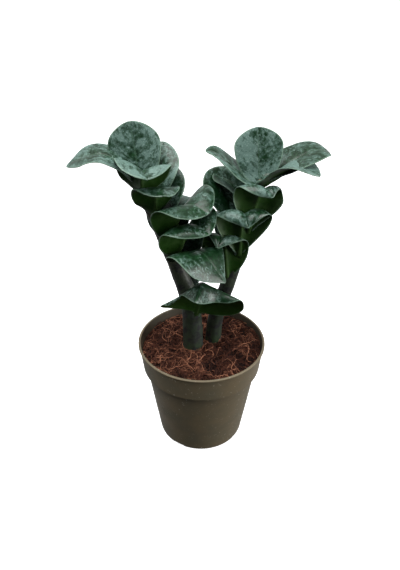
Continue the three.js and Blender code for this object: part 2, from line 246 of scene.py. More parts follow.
# Each light's name, place and width in metres, and its strength against the top light's
LIGHTS = (
    ("top light", (-0.15, -0.2, 1.15), 0.9, 1),
    ("right light", (1.1, -0.25, 0.4), 0.7, 0.78),
    ("left light", (-1.1, -0.35, 0.5), 0.7, 0.06),
)
LIGHT_AIM = (0, 0, 0.2)
FLOOR_REACH = 12

# Stem centre lines, foot in the coir first: x, y, z and the diameter there, in millimetres
LEFT_STEM = [
    (-8, -2, 62, 12), (-8, -2, 76, 19), (-8, -2, 98, 19.5), (-8.5, -2, 124, 18),
    (-10, -2, 146, 17), (-15, -2, 166, 15.5), (-24, -2, 191, 13), (-35, -2, 219, 10.5),
    (-46, -2, 247, 8.5), (-52, -1, 264, 7), (-53, -1, 267, 5),
]
RIGHT_STEM = [
    (11, 9, 62, 9), (11, 9, 76, 14.5), (11, 9, 98, 15), (12.5, 9, 122, 14.5),
    (17, 9, 142, 14), (23, 8, 162, 13), (30, 8, 187, 11.5), (37, 8, 212, 10),
    (43, 8, 237, 8.5), (46, 8, 254, 7), (46.5, 8, 261, 4),
]

# A leaflet's form, as in the imported solids. height is where it leaves its stem, origin the side
# that it leaves from, or turn where that is None, and turn the compass direction that it grows in.
# lift is its first slope, heel how far its foot lies under that, tip_lift its last slope, and bend
# and span say where the slope changes. lean turns it sideways all along, sweep more and more. cup
# and tip_cup are how far its halves fold up, curl rolls the margins, roll tips the blade about its
# midrib and twist adds to that. neck is the share that is stalk, widest the place of its full
# width, rise and fall shape the outline under and over it, and the last gives the share of the face
# under
# a pale cover: partly waxy bloom, partly painted sheen, set higher on lit leaflets and lower on
# shaded ones.
LEAFLET = dict(
    origin=None, widest=0.56, bend=0.58, span=0.45, lean=0, sweep=0, heel=40, cup=48, tip_cup=14,
    curl=-6, roll=0, twist=0, neck=0, rise=0.62, fall=0.58, bloom_and_sheen=0.5,
)
LEFT_LEAFLETS = [
    dict(height=258, origin=90, turn=94, lift=80, tip_lift=80, length=50, width=41, cup=16,
         tip_cup=6, curl=-12, lean=7, widest=0.66, heel=10, bloom_and_sheen=0.72),
    dict(height=264, turn=180, lift=55, tip_lift=-33, length=63, width=35, cup=16, tip_cup=6,
         bend=0.5, span=0.9, roll=-8, heel=0, widest=0.66, fall=0.8, bloom_and_sheen=0.85),
    dict(height=252, turn=-84, lift=82, tip_lift=-12, length=47, width=46, cup=52, tip_cup=28,
         curl=-18, bend=0.6, lean=-8, sweep=25, roll=-8, bloom_and_sheen=0.9),
    dict(height=237, turn=-60, lift=82, tip_lift=-14, length=46, width=38, cup=36, tip_cup=-8,
         bend=0.64, lean=-3, roll=-8, bloom_and_sheen=0.55),
    dict(height=215, origin=-40, turn=-47, lift=80, tip_lift=-20, length=60, width=57, cup=34,
         tip_cup=10, bend=0.64, lean=12, roll=10, bloom_and_sheen=0.4),
    dict(height=200, origin=-40, turn=-50, lift=80, tip_lift=-20, length=58, width=56, cup=42,
         tip_cup=24, curl=-24, bend=0.64, lean=8, roll=10, fall=0.75, bloom_and_sheen=0.25),
    dict(height=193, origin=-30, turn=-46, lift=60, tip_lift=-54, length=66, width=58, cup=6,
         tip_cup=0, bend=0.46, span=0.5, heel=30, lean=-4, sweep=24, roll=-10, neck=0.1,
         widest=0.5, rise=0.55, fall=1.1, bloom_and_sheen=0.3),
    dict(height=139, origin=-60, turn=-80, lift=80, tip_lift=-20, length=72, width=78, cup=-10,
         tip_cup=-40, bend=0.62, heel=0, lean=20, sweep=-50, roll=-7, twist=6, neck=0.08,
         widest=0.32, rise=0.6, fall=0.9, bloom_and_sheen=0.34),
    dict(height=244, origin=60, turn=64, lift=76, tip_lift=46, length=52, width=41, cup=30,
         tip_cup=0, lean=2, bloom_and_sheen=0.7),
    dict(height=226, origin=60, turn=60, lift=76, tip_lift=40, length=50, width=34, cup=30,
         tip_cup=0, lean=3, bloom_and_sheen=0.6),
    dict(height=206, origin=90, turn=84, lift=78, tip_lift=0, length=54, width=42, lean=-1),
    dict(height=184, origin=90, turn=88, lift=76, tip_lift=-20, length=56, width=42, lean=-9),
    dict(height=156, origin=90, turn=86, lift=70, tip_lift=-40, length=54, width=36, lean=2),
]
RIGHT_LEAFLETS = [
    dict(height=256, origin=90, turn=90, lift=82, tip_lift=80, length=46, width=39, cup=24,
         tip_cup=10, lean=4, widest=0.68, heel=10, bloom_and_sheen=0.84),
    dict(height=262, origin=20, turn=9, lift=30, tip_lift=-54, length=63, width=40, cup=24,
         tip_cup=4, bend=0.85, span=0.5, roll=8, heel=0, fall=0.75, bloom_and_sheen=0.5),
    dict(height=257, origin=-150, turn=-22, lift=40, tip_lift=-18, length=55, width=38, cup=34,
         bend=0.65, heel=20, roll=-6, widest=0.72, bloom_and_sheen=0.98),
    dict(height=255, turn=184, lift=43, tip_lift=-40, length=53, width=32, cup=16, tip_cup=10,
         bend=0.95, span=0.4, roll=-8, heel=10, widest=0.5, bloom_and_sheen=0.62),
    dict(height=216, origin=120, turn=150, lift=70, tip_lift=40, length=60, width=42, cup=42,
         tip_cup=26, roll=-34, widest=0.62, bloom_and_sheen=0.5),
    dict(height=216, origin=-90, turn=-86, lift=90, tip_lift=-56, length=60, width=41, tip_cup=44,
         curl=-50, bend=0.81, lean=2, sweep=25, roll=-4, widest=0.66, rise=1.5, fall=1, neck=0.08,
         bloom_and_sheen=0.7),
    dict(height=195, origin=-95, turn=-90, lift=92, tip_lift=-58, length=62, width=47, tip_cup=46,
         curl=-50, bend=0.76, lean=-2, sweep=12, roll=6, twist=-6, widest=0.66, rise=1.4, fall=1,
         neck=0.06, bloom_and_sheen=0.65),
    dict(height=172, origin=-150, turn=-95, lift=92, tip_lift=-46, length=60, width=40,
         tip_cup=44, curl=-45, bend=0.78, lean=1, sweep=-17, roll=8, twist=-20, rise=1.1, fall=1,
         bloom_and_sheen=0.55),
    dict(height=232, origin=130, turn=150, lift=62, tip_lift=20, length=46, width=36),
    dict(height=214, origin=90, turn=84, lift=78, tip_lift=0, length=50, width=38, lean=4),
    dict(height=190, origin=90, turn=88, lift=76, tip_lift=-10, length=54, width=38, lean=8),
    dict(height=164, origin=90, turn=92, lift=70, tip_lift=-36, length=54, width=30, lean=-4),
]
FRONDS = (
    ("left", "frond_left", LEFT_STEM, LEFT_LEAFLETS),
    ("right", "frond_right", RIGHT_STEM, RIGHT_LEAFLETS),
)


# Sizes and colours that a user would change

class PotSettings(bpy.types.PropertyGroup):
    rim_radius: bpy.props.FloatProperty(
        name="Rim radius", description="Outer radius of the pot's lip", unit="LENGTH",
        default=RIM_RADIUS * MM, min=0.02)
    segments: bpy.props.IntProperty(
        name="Segments", description="Facets round the pot", default=240, min=24)
    plastic: bpy.props.FloatVectorProperty(
        name="Plastic", description="Colour of the moulded plastic", subtype="COLOR",
        default=(0.156, 0.120, 0.070), min=0, max=1)


class CoirSettings(bpy.types.PropertyGroup):
    fibres: bpy.props.IntProperty(
        name="Fibres", description="Coir fibres in each of the two lower layers",
        default=900, min=10)
    thickness: bpy.props.FloatProperty(
        name="Fibre radius", description="Radius of a middling fibre", unit="LENGTH",
        default=0.38 * MM, min=0.00005)
    dark: bpy.props.FloatVectorProperty(
        name="Dark fibre", description="Colour of the damp fibres", subtype="COLOR",
        default=(0.010, 0.004, 0.003), min=0, max=1)
    pale: bpy.props.FloatVectorProperty(
        name="Pale fibre", description="Colour of the dry fibres", subtype="COLOR",
        default=(0.50, 0.22, 0.125), min=0, max=1)


class FrondSettings(bpy.types.PropertyGroup):
    blade: bpy.props.FloatProperty(
        name="Blade thickness", description="Thickness of a leaflet beside its midrib",
        unit="LENGTH", default=1.3 * MM, min=0.0006)
    rows: bpy.props.IntProperty(
        name="Rows", description="Rows of faces along a leaflet", default=56, min=8)
    columns: bpy.props.IntProperty(
        name="Columns", description="Columns of faces across a leaflet", default=40, min=8)
    face: bpy.props.FloatVectorProperty(
        name="Leaf face", description="Grey-green of the bloomed upper face", subtype="COLOR",
        default=(0.058, 0.110, 0.086), min=0, max=1)
    back: bpy.props.FloatVectorProperty(
        name="Leaf back", description="Dark olive green of the under face", subtype="COLOR",
        default=(0.010, 0.042, 0.003), min=0, max=1)
    stem: bpy.props.FloatVectorProperty(
        name="Stem", description="Ground colour of the stems", subtype="COLOR",
        default=(0.022, 0.034, 0.020), min=0, max=1)


class StageSettings(bpy.types.PropertyGroup):
    light: bpy.props.FloatProperty(
        name="Light", description="Strength of the soft top light, in watts", default=15.5, min=0)
    floor: bpy.props.FloatVectorProperty(
        name="Floor", description="Colour of the plain floor", subtype="COLOR",
        default=(0.9, 0.9, 0.9), min=0, max=1)


# Meshes

def smooth(value):
    t = np.clip(value, 0, 1)
    return t * t * (3 - 2 * t)


def piece_of(name, points, faces, materials, node, which=None, values=None):
    """A smooth-shaded mesh piece from points in millimetres, riding on the plant's one body."""
    mesh = bpy.data.meshes.new(name)
    mesh.from_pydata((np.asarray(points) * MM).tolist(), [], [list(map(int, f)) for f in faces])
    for material in materials:
        mesh.materials.append(material)
    if which is not None:
        mesh.polygons.foreach_set("material_index", np.asarray(which, np.int32))
    for key, numbers in (values or {}).items():
        attribute = mesh.attributes.new(key, "FLOAT", "POINT")
        attribute.data.foreach_set("value", np.asarray(numbers, np.float32))
    mesh.polygons.foreach_set("use_smooth", np.ones(len(mesh.polygons), bool))
    mesh.update()
    piece = bpy.data.objects.new(name, mesh)
    bpy.context.scene.collection.objects.link(piece)
    if mesh.validate(verbose=False):
        raise RuntimeError(f"{name} has a face that Blender can't keep")
    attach(piece, "root")
    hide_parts(node)
    return piece


def ring_faces(rings, sides):
    """Quads between rings of points, each ring closed on itself."""
    r, k = np.meshgrid(np.arange(rings - 1), np.arange(sides), indexing="ij")
    a = r * sides + k
    b = r * sides + (k + 1) % sides
    return np.stack([a, b, b + sides, a + sides], -1).reshape(-1, 4)


def capped_faces(rings, sides):
    """Quads between rings, and a fan at each end to the two points that follow the rings."""
    faces = ring_faces(rings, sides).tolist()
    start = rings * sides
    last = start - sides
    faces += [[start, (k + 1) % sides, k] for k in range(sides)]
    faces += [[start + 1, last + k, last + (k + 1) % sides] for k in range(sides)]
    return faces


def angles_of(sides):
    return np.arange(sides) * 2 * math.pi / sides


def noise_at(points, size, seed):
    """Smooth noise from -1 to 1 at points in millimetres, its lumps about size across."""
    shift = Vector((seed * 17.3, seed * 5.1, seed * 9.7))
    flat = np.asarray(points).reshape(-1, 3) / size
    values = [noise.noise(Vector(p) + shift) for p in flat]
    return np.array(values).reshape(np.asarray(points).shape[:-1])


# The pot

def body_radius(height):
    return BASE_RADIUS + BODY_SLOPE * height


def collar_radius(height):
    foot = body_radius(COLLAR_FOOT) + COLLAR_STEP
    top = RIM_RADIUS - LIP_REACH
    return foot + (top - foot) * (height - COLLAR_FOOT) / (POT_HEIGHT - LIP_HEIGHT - COLLAR_FOOT)


def arc(centre, radius, start, end, steps=4):
    """Points on an arc in the section, from start to end degrees."""
    angles = np.radians(np.linspace(start, end, steps + 1))
    return [(centre[0] + radius * math.cos(a), centre[1] + radius * math.sin(a)) for a in angles]


def straight(start, end, steps):
    """The points between start and end, without both of them."""
    t = np.linspace(0, 1, steps + 1)[1:-1]
    return [(start[0] + (end[0] - start[0]) * s, start[1] + (end[1] - start[1]) * s) for s in t]


def pot_section():
    """The pot's section from the middle of its underside, up the outside and down the inside."""
    foot = arc((BASE_RADIUS - FOOT_ROUND + FOOT_FLARE, FOOT_ROUND), FOOT_ROUND, -90, -8, 6)
    step = [
        (body_radius(COLLAR_FOOT - STEP_ROUND), COLLAR_FOOT - STEP_ROUND),
        (body_radius(COLLAR_FOOT) + STEP_ROUND / 2, COLLAR_FOOT - STEP_SAG),
        (body_radius(COLLAR_FOOT) + STEP_ROUND, COLLAR_FOOT),
    ]
    r = COLLAR_ROUND
    collar = arc((collar_radius(COLLAR_FOOT) - r, COLLAR_FOOT + r), r, -90, 0)
    lip_foot = POT_HEIGHT - LIP_HEIGHT
    under = [
        (collar_radius(lip_foot - LIP_FILLET), lip_foot - LIP_FILLET),
        (collar_radius(lip_foot) + LIP_FILLET / 2, lip_foot - LIP_FILLET / 5),
    ]
    r = LIP_UNDER_ROUND
    lip = arc((RIM_RADIUS - r, lip_foot + r), r, -80, 0)
    r = LIP_TOP_ROUND
    lip += arc((RIM_RADIUS - r, POT_HEIGHT - r), r, 0, 90)
    r = LIP_INNER_ROUND
    lip += arc((collar_radius(POT_HEIGHT) - WALL + r, POT_HEIGHT - r), r, 90, 180)
    ledge = COLLAR_FOOT + WALL
    wide, narrow = collar_radius(ledge) - WALL, body_radius(ledge) - WALL
    inside = [
        (wide, ledge + LEDGE_ROUND), (wide - LEDGE_ROUND, ledge),
        (narrow + LEDGE_FILLET, ledge), (narrow, ledge - LEDGE_FILLET),
    ]
    bottom = body_radius(FLOOR) - WALL
    well = [(bottom, FLOOR + WELL_ROUND), (bottom - WELL_ROUND, FLOOR)]
    points = [(0, 0)]
    for run, steps in (
        (foot, 28), (step, 2), (collar, 16), (under, 2), (lip, 8), (inside, 1), (well, 20),
        ([(0, FLOOR)], 6),
    ):
        points += straight(points[-1], run[0], steps) + run
    return points


def make_pot(settings):
    """The moulded pot: its fine section turned round, then the drainage notches cut in its foot."""
    sides = settings.segments
    size = settings.rim_radius / (RIM_RADIUS * MM)
    section = np.array(pot_section()) * (size, 1)
    angles = angles_of(sides)
    rings = section[1:-1]
    x = rings[:, :1] * np.cos(angles)
    y = rings[:, :1] * np.sin(angles)
    z = np.repeat(rings[:, 1:], sides, 1)
    points = np.stack([x, y, z], -1)
    drift = DRIFT * noise_at(points[:, ::DRIFT_STRIDE] * DRIFT_STRETCH, DRIFT_LUMP, seed=3)
    drift = np.repeat(drift, DRIFT_STRIDE, 1)[:, :sides]
    for _ in range(DRIFT_SMOOTHINGS):
        drift = (np.roll(drift, 3, 1) + drift + np.roll(drift, -3, 1)) / 3
    out = np.stack([np.cos(angles), np.sin(angles), np.zeros(sides)], -1)
    points = points + out[None] * drift[..., None] * (points[..., 2:] > 1)
    points = np.concatenate([points.reshape(-1, 3), [[0, 0, 0], [0, 0, FLOOR]]])
    skin = finish("pot_plastic_skin", paint_plastic, settings)
    pot = piece_of("pot_shell", points, capped_faces(len(rings), sides), [skin], "pot")
    cut_notches(pot)
    edges = pot.modifiers.new("crisp edges", "WEIGHTED_NORMAL")
    edges.keep_sharp = True


def cut_notches(pot):
    """Cuts the drainage notches out of the pot's foot."""
    cutter = bpy.data.objects.new("notch_cutter", bpy.data.meshes.new("notch_cutter"))
    bpy.context.scene.collection.objects.link(cutter)
    boxes = bmesh.new()
    reach = (BASE_RADIUS + NOTCH_OUT - NOTCH_DEPTH / 2) * MM
    shape = Matrix.Diagonal((NOTCH_DEPTH * MM, NOTCH_WIDTH * MM, NOTCH_HEIGHT * 2 * MM, 1))
    for i in range(NOTCH_COUNT):
        turn = Matrix.Rotation(math.radians(NOTCH_FIRST + i * 360 / NOTCH_COUNT), 4, "Z")
        place = turn @ Matrix.Translation((reach, 0, 0))
        bmesh.ops.create_cube(boxes, size=1, matrix=place @ shape)
    boxes.to_mesh(cutter.data)
    boxes.free()
    cut = pot.modifiers.new("notches", "BOOLEAN")
    cut.operation = "DIFFERENCE"
    cut.solver = "EXACT"
    cut.object = cutter
    apply_modifiers(pot)
    bpy.data.objects.remove(cutter)


def apply_modifiers(piece):
    """Puts what the piece's modifiers make in its own mesh."""
    graph = bpy.context.evaluated_depsgraph_get()
    graph.update()
    mesh = bpy.data.meshes.new_from_object(piece.evaluated_get(graph))
    old = piece.data
    piece.modifiers.clear()
    piece.data = mesh
    bpy.data.meshes.remove(old)


# The coir

def coir_height(x, y):
    reach = np.hypot(x, y) / RIM_RADIUS
    small = np.sin(x / SMALL_LUMP + 1) * np.cos(y / SMALL_LUMP)
    large = np.sin((x - 3 * y) / LARGE_LUMP + 2)
    relief = COIR_RELIEF * (small + large / 2) * (1 - reach / 2)
    return COIR_LEVEL + COIR_TILT * x + COIR_DOME * (1 - reach * reach) + relief


def coir_clumps(x, y):
    """How far the coir's clumps stand over its even top, and its hollows under it."""
    flat = np.stack([x, y, np.zeros_like(x)], -1)
    edge = smooth((coir_brim() - np.hypot(x, y)) / CLUMP_EDGE)
    large = CLUMP_RISE * noise_at(flat, LARGE_CLUMP, seed=5)
    return edge * (large + CLUMP_RISE * noise_at(flat, SMALL_CLUMP, seed=6))


def coir_brim():
    return collar_radius(COIR_LEVEL) - WALL - COIR_CLEAR


def stem_at(line, height):
    """The stem's centre and diameter at a height, along its straight runs."""
    table = np.array(line, float)
    return np.array([np.interp(height, table[:, 2], table[:, k]) for k in range(4)])


def make_coir_bed(settings):
    """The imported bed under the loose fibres: a clumpy top on a tapered plug."""
    angles = angles_of(BED_SIDES)
    ledge = COLLAR_FOOT + WALL + COIR_CLEAR
    inset = WALL + COIR_CLEAR
    plug = (
        (BED_EYE, FLOOR + COIR_CLEAR), (body_radius(FLOOR) - inset, FLOOR + COIR_CLEAR),
        (body_radius(ledge) - inset, ledge), (collar_radius(ledge) - inset, ledge),
    )
    rings = []
    for radius, height in plug:
        x, y = radius * np.cos(angles), radius * np.sin(angles)
        rings.append(np.stack([x, y, np.full(BED_SIDES, height)], -1))
    for radius in np.linspace(coir_brim(), TOP_EYE, BED_RINGS):
        x, y = radius * np.cos(angles), radius * np.sin(angles)
        rings.append(np.stack([x, y, coir_height(x, y)], -1))
    points = np.array(rings)
    top = points[len(plug):]
    clumps = coir_clumps(top[..., 0], top[..., 1])
    top[..., 2] += clumps + GRIT_RISE * noise_at(top, GRIT_SIZE, seed=8) - BED_SINK
    faces = ring_faces(len(points), BED_SIDES).tolist()
    last = (len(points) - 1) * BED_SIDES
    faces.append(list(range(BED_SIDES))[::-1])
    faces.append([last + k for k in range(BED_SIDES)])
    mottle = BED_TONE_SPREAD * noise_at(top, BED_TONE_SIZE, seed=9)
    tone = np.zeros(points.shape[:2])
    # The tone rises with the clumps: painted shade in the hollows, painted light on the clump tops
    tone[len(plug):] = np.clip(BED_TONE + BED_CLUMP_SHADE_RISE * clumps + mottle, 0, BED_TONE_MOST)
    piece_of("coir_bed", points.reshape(-1, 3), faces, [finish("coir_fibre", paint_coir, settings)],
             "coir", values={"tone": tone.ravel()})


def make_coir_fibres(settings):
    """Loose coir on the bed, in three layers: short dark fibres, middling ones, long paler ones."""
    for name, share, reach, girth, lift, tones, seed in FIBRE_LAYERS:
        random = np.random.default_rng(seed)
        count = int(settings.fibres * share)
        radius = settings.thickness / MM * girth
        points, faces, tone = tubes(*fibre_paths(random, count, reach, radius, lift, tones))
        piece_of(name, points, faces, [finish("coir_fibre", paint_coir, settings)], "coir",
                 values={"tone": tone})


def fibre_paths(random, count, reach, radius, lift, tones):
    """Curled paths over the coir's top, kept out of the stems and inside the pot's wall."""
    where = coir_brim() * np.sqrt(random.uniform(0, 1, count))
    around = random.uniform(0, 2 * math.pi, count)
    x, y = where * np.cos(around), where * np.sin(around)
    length = random.uniform(*reach, count)
    heading = random.uniform(0, 2 * math.pi, count)
    bend = random.normal(0, FIBRE_BEND, count)
    twist = random.normal(0, FIBRE_TWIST, count)
    rise = random.uniform(*lift, count)
    arch = random.gamma(*FIBRE_ARCH, count)
    t = np.linspace(-0.5, 0.5, FIBRE_STEPS)
    angle = heading[:, None] + bend[:, None] * t * 2 + twist[:, None] * (t ** 2 * 4 - 0.3)
    step = length[:, None] / (FIBRE_STEPS - 1)
    px = x[:, None] + np.cumsum(np.cos(angle) * step, 1)
    py = y[:, None] + np.cumsum(np.sin(angle) * step, 1)
    px -= length[:, None] * np.cos(heading)[:, None] / 2
    py -= length[:, None] * np.sin(heading)[:, None] / 2
    wiggle = random.normal(0, FIBRE_WIGGLE, (count, FIBRE_STEPS))
    clumps = coir_clumps(px, py)
    pz = coir_height(px, py) + clumps - FIBRE_SINK + rise[:, None] + wiggle
    pz += arch[:, None] * (1 - (t * 2) ** 2)
    for line in (LEFT_STEM, RIGHT_STEM):
        cx, cy, _, diameter = stem_at(line, COIR_LEVEL + 2)
        keep = diameter / 2 + radius + FIBRE_CLEAR
        dx, dy = px - cx, py - cy
        push = np.maximum(keep / (np.hypot(dx, dy) + 1e-6), 1)
        px, py = cx + dx * push, cy + dy * push
    shrink = np.minimum((coir_brim() - radius) / np.maximum(np.hypot(px, py), 1e-6), 1)
    px, py = px * shrink, py * shrink
    radii = radius * random.uniform(*FIBRE_GIRTHS, count)
    shades = tones[0] + (tones[1] - tones[0]) * random.beta(*FIBRE_TONES, count)
    # Painted shade and light: fibres in the hollows darker, fibres on the clump tops paler
    shades = shades + FIBRE_CLUMP_SHADE_RISE * clumps.mean(1)
    return np.stack([px, py, pz], -1), radii, np.clip(shades, 0, 1)


def tubes(paths, radii, shades):
    """Three-sided tubes along many paths at once, tapered to both ends."""
    count, steps, _ = paths.shape
    ahead = np.gradient(paths, axis=1)
    ahead /= np.linalg.norm(ahead, axis=-1, keepdims=True) + TINY
    side = np.cross(ahead, np.array([0.0, 0.0, 1.0]))
    side /= np.linalg.norm(side, axis=-1, keepdims=True) + TINY
    over = np.cross(side, ahead)
    ends = [0, FIBRE_TAPER, 1 - FIBRE_TAPER, 1]
    taper = np.interp(np.linspace(0, 1, steps), ends, [FIBRE_END, 1, 1, FIBRE_END])
    size = radii[:, None, None] * taper[None, :, None]
    rings = []
    for k in range(FIBRE_SIDES):
        angle = k * 2 * math.pi / FIBRE_SIDES + math.pi / 2
        rings.append(paths + size * (side * math.cos(angle) + over * math.sin(angle)))
    points = np.stack(rings, 2).reshape(-1, 3)
    one = ring_faces(steps, FIBRE_SIDES)
    base = np.arange(count)[:, None, None] * steps * FIBRE_SIDES
    faces = (one[None] + base).reshape(-1, 4).tolist()
    for i in range(count):
        a = i * steps * FIBRE_SIDES
        b = a + (steps - 1) * FIBRE_SIDES
        faces.append([a + 2, a + 1, a])
        faces.append([b, b + 1, b + 2])
    return points, faces, np.repeat(shades, steps * FIBRE_SIDES)


# The stems

def stem_frames(line):
    """Centres, cross axes and radii along a stem's smooth centre line."""
    table = np.array(line, float)
    runs = np.linalg.norm(np.diff(table[:, :3], axis=0), axis=1)
    knots = np.concatenate([[0], np.cumsum(runs)])
    t = np.linspace(0, knots[-1], STEM_RINGS)
    centre = np.stack([np.interp(t, knots, table[:, k]) for k in range(3)], -1)
    girth = np.interp(t, knots, table[:, 3]) / 2
    for _ in range(STEM_SMOOTHINGS):
        centre[1:-1] = (centre[:-2] + 2 * centre[1:-1] + centre[2:]) / 4
        girth[1:-1] = (girth[:-2] + 2 * girth[1:-1] + girth[2:]) / 4
    ahead = np.gradient(centre, axis=0)
    ahead /= np.linalg.norm(ahead, axis=-1, keepdims=True)
    side = np.cross(np.array([0.0, 1.0, 0.0]), ahead)
    side /= np.linalg.norm(side, axis=-1, keepdims=True)
    front = np.cross(ahead, side)
    return centre, ahead, side, front, girth


def origin_of(leaf):
    """The side of its stem that a leaflet leaves, as an angle in radians."""
    origin = leaf.get("origin")
    return math.radians(leaf["turn"] if origin is None else origin)


def make_stem(name, node, line, leaflets, settings, seed):
    """A stem with faint ridges, and a swollen collar where each leaflet leaves it."""
    centre, ahead, side, front, girth = stem_frames(line)
    angles = angles_of(STEM_SIDES)
    ring = side[:, None] * np.cos(angles)[None, :, None]
    ring = ring + front[:, None] * np.sin(angles)[None, :, None]
    radius = np.repeat(girth[:, None], STEM_SIDES, 1)
    points = centre[:, None] + ring * radius[..., None]
    swell = FINE_BUMP * noise_at(points * FINE_STRETCH, FINE_LUMP, seed)
    swell += COARSE_BUMP * noise_at(points * COARSE_STRETCH, COARSE_LUMP, seed + 1)
    swell += RIDGE_RISE * np.cos(RIDGES * angles + RIDGE_TURN)[None]
    for leaf in leaflets:
        origin = origin_of(leaf)
        toward = ring @ np.array([math.cos(origin), math.sin(origin), 0])
        beside = np.exp(-((centre[:, 2] - leaf["height"] + SWELL_DROP) / SWELL_REACH) ** 2)
        swell += SWELL_RISE * beside[:, None] * np.clip(toward, 0, 1) ** 1.5
    fade = smooth((points[..., 2].max() - points[..., 2]) / TOP_FADE)
    fade = fade * smooth((centre[:, 2] - FOOT_FADE_LEVEL) / FOOT_FADE)[:, None]
    points = centre[:, None] + ring * (radius + swell * fade)[..., None]
    cap = []
    for i in range(1, CAP_RINGS + 1):
        a = i / (CAP_RINGS + 1) * math.pi / 2
        cap.append(centre[-1] + ring[-1] * (radius[-1] * math.cos(a))[:, None]
                   + ahead[-1] * girth[-1] * math.sin(a) * CAP_RISE)
    points = np.concatenate([points, np.array(cap)])
    tip = centre[-1] + ahead[-1] * girth[-1] * CAP_RISE
    flat = np.concatenate([points.reshape(-1, 3), [centre[0], tip]])
    above = (flat[:, 2] - COIR_LEVEL) / STEM_SPAN
    piece_of(name, flat, capped_faces(len(points), STEM_SIDES),
             [finish("stem_skin", paint_stem, settings)], node, values={"above": above})


# The leaflets

def half_width(leaf, along):
    """Half the blade's width at shares of its length."""
    half = leaf["width"] / 2
    widest = leaf["widest"]
    risen = np.clip((along - leaf["neck"]) / (widest - leaf["neck"]), 0, 1)
    rise = np.sin(risen * math.pi / 2) ** leaf["rise"]
    fallen = np.clip((along - widest) / (1 - widest), 0, 1)
    fall = np.clip(np.cos(fallen * math.pi / 2), 0, 1) ** leaf["fall"]
    lower = STALK_HALF_WIDTH + (half - STALK_HALF_WIDTH) * rise
    upper = TIP_HALF_WIDTH + (half - TIP_HALF_WIDTH) * fall
    return np.where(along < widest, lower, upper)


def midrib_of(leaf, foot):
    """The midrib's points with the blade's side and face directions, at every step along it."""
    along = np.linspace(0, 1, RIB_STEPS + 1)
    start = leaf["bend"] - leaf["span"] / 2
    heel = leaf["heel"] * (1 - smooth(along / HEEL_SPAN))
    change = (leaf["tip_lift"] - leaf["lift"]) * smooth((along - start) / leaf["span"])
    slope = np.radians(leaf["lift"] - heel + change)
    turn = math.radians(leaf["turn"])
    lean = np.radians(leaf["lean"] + leaf["sweep"] * along)
    ahead = np.stack([
        np.cos(slope) * math.cos(turn), np.cos(slope) * math.sin(turn), np.sin(slope)], -1)
    level = np.array([-math.sin(turn), math.cos(turn), 0])
    c, s = np.cos(lean)[:, None], np.sin(lean)[:, None]
    tangent = c * ahead + s * level
    side = c * level - s * ahead
    face = np.cross(tangent, side)
    roll = np.radians(leaf["roll"] + leaf["twist"] * along)
    c, s = np.cos(roll)[:, None], np.sin(roll)[:, None]
    side, face = c * side + s * face, c * face - s * side
    step = tangent * leaf["length"] / RIB_STEPS
    points = foot + np.concatenate([[np.zeros(3)], np.cumsum(step[:-1], 0)])
    return along, points, side, face


def foot_of(leaf, line):
    """Where a leaflet starts, inside the stem that carries it."""
    x, y, z, diameter = stem_at(line, leaf["height"])
    origin = origin_of(leaf)
    out = FOOT_DEPTH * diameter / 2
    return np.array([x + out * math.cos(origin), y + out * math.sin(origin), z])


def middle_surface(leaf, foot, s, v):
    """The leaflet's middle surface: a row of points at each share s of its length, each row with
    a point at each share v of its half width, from left to right."""
    fine, rib, rib_side, rib_face = midrib_of(leaf, foot)

    def at(values):
        return np.stack([np.interp(s, fine, values[:, k]) for k in range(3)], -1)

    middle, side, face = at(rib), at(rib_side), at(rib_face)
    side /= np.linalg.norm(side, axis=1, keepdims=True)
    face /= np.linalg.norm(face, axis=1, keepdims=True)
    half = half_width(leaf, s)[:, None]
    fold = leaf["cup"] + (leaf["tip_cup"] - leaf["cup"]) * smooth(s)
    angle = np.radians(fold[:, None] + leaf["curl"] * np.abs(v)[None])
    bent = np.sqrt(v ** 2 + FOLD_ROUND ** 2) - FOLD_ROUND
    grid = middle[:, None] + side[:, None] * (half * v[None] * np.cos(angle))[..., None]
    return grid + face[:, None] * (half * bent[None] * np.sin(angle))[..., None]


def uneven(grid, s, v, length, seed):
    """The surface softly uneven, and lightly waved at the margins."""
    rise = BROAD_RISE * noise_at(grid, BROAD_SIZE, seed)
    rise = rise + SMALL_RISE * noise_at(grid, SMALL_SIZE, seed + 5)
    edge = np.abs(v)[None] ** 3 * smooth(s * 4)[:, None] * smooth((1 - s) * 5)[:, None]
    hand = np.where(v < 0, 0.0, HAND_SHIFT)[None]
    phase = (s * length)[:, None] / WAVE_REACH + seed * WAVE_SHIFT + hand
    rise = rise + MARGIN_WAVE * edge * np.sin(phase)
    rise = rise * smooth(s * 6)[:, None]
    return grid + normals_of(grid) * rise[..., None]


